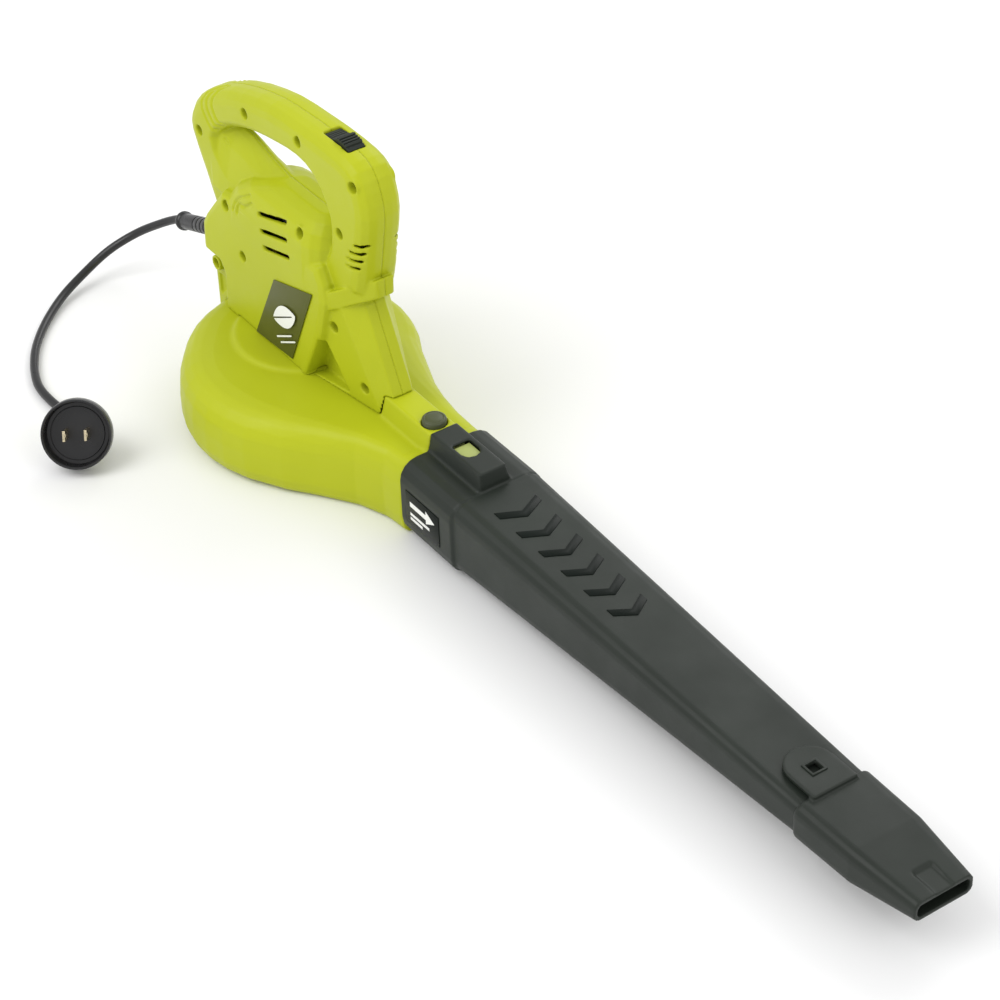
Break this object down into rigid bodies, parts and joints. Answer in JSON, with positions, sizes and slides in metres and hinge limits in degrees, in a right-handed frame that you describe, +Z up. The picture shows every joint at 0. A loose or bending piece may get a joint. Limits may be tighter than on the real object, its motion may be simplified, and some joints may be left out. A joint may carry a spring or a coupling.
{
  "type": "leaf blower",
  "caption": "Corded hand-held leaf blower with a D handle over a flat scroll fan, a latched push-on tube and a flat nozzle.",
  "frame": {"origin": "on the fan axis, on the flat underside of the intake guard, which rests on the floor", "axes": "+X the way the air leaves along the tube, +Y the operator's left, +Z up along the fan axis"},
  "size_m": [0.7675, 0.2359, 0.2138],
  "materials": {
    "lime": "satin",
    "black": "satin",
    "olive": "satin",
    "tab": "satin",
    "label": "satin",
    "steel": "satin",
    "copper": "satin",
    "carbon": "matt",
    "brass": "satin",
    "cord_rubber": "gloss"
  },
  "bodies": {
    "housing": {"right_shell": "lime", "left_shell": "lime", "fan_housing": "lime", "base_cover": "black", "intake_grille": "black", "label_plate": "label", "bearing_lower": "steel", "bearing_upper": "steel", "stator_core": "steel", "field_coil_left": "copper", "field_coil_right": "copper", "brush_holder_left": "brass", "brush_holder_right": "brass", "carbon_brush_left": "carbon", "carbon_brush_right": "carbon", "switch_body": "black", "rocker_pin": "steel", "latch_pin": "steel", "shell_screw_01": "steel", "shell_screw_02": "steel", "shell_screw_03": "steel", "shell_screw_04": "steel", "shell_screw_05": "steel", "shell_screw_06": "steel", "shell_screw_07": "steel", "shell_screw_08": "steel", "shell_screw_09": "steel", "shell_screw_10": "steel", "shell_screw_11": "steel", "cover_screw_1": "steel", "cover_screw_2": "steel", "cover_screw_3": "steel", "cover_screw_4": "steel", "strain_relief": "cord_rubber", "power_cord": "cord_rubber", "plug_body": "cord_rubber", "plug_blade_left": "brass", "plug_blade_right": "brass"},
    "rotor": {"motor_shaft": "steel", "impeller": "black", "impeller_nut": "steel", "armature_core": "steel", "armature_winding_lower": "copper", "armature_winding_upper": "copper", "commutator": "copper"},
    "rocker": {"switch_rocker": "black"},
    "button": {"release_button": "olive"},
    "latch": {"latch_lever": "tab"},
    "tube": {"blower_tube": "black", "collar_sticker": "black"},
    "nozzle": {"air_nozzle": "black"}
  },
  "joints": [
    {"name": "fan_spin", "type": "hinge", "parent": "housing", "child": "rotor", "pos_m": [0, 0, 0.05], "axis": [0, 0, 1], "continuous": true},
    {"name": "switch_rock", "type": "hinge", "parent": "housing", "child": "rocker", "pos_m": [0.062, 0, 0.2064], "axis": [0, 1, 0], "range_deg": [0, 16]},
    {"name": "button_press", "type": "slide", "parent": "housing", "child": "button", "axis": [0, 0, -1], "range_m": [0, 0.0018], "stiffness_N_per_m": 800, "springref_m": -0.002},
    {"name": "latch_drop", "type": "hinge", "parent": "housing", "child": "latch", "pos_m": [0.118, 0, 0.056], "axis": [0, 1, 0], "range_deg": [0, 5]},
    {"name": "tube_pull", "type": "slide", "parent": "housing", "child": "tube", "axis": [1, 0, 0], "range_m": [0, 0.06]},
    {"name": "nozzle_pull", "type": "slide", "parent": "tube", "child": "nozzle", "axis": [1, 0, 0], "range_m": [0, 0.045]}
  ],
  "couplings": [
    {"joint": "latch_drop", "follows": "button_press", "rad_per_m": 47.6}
  ]
}
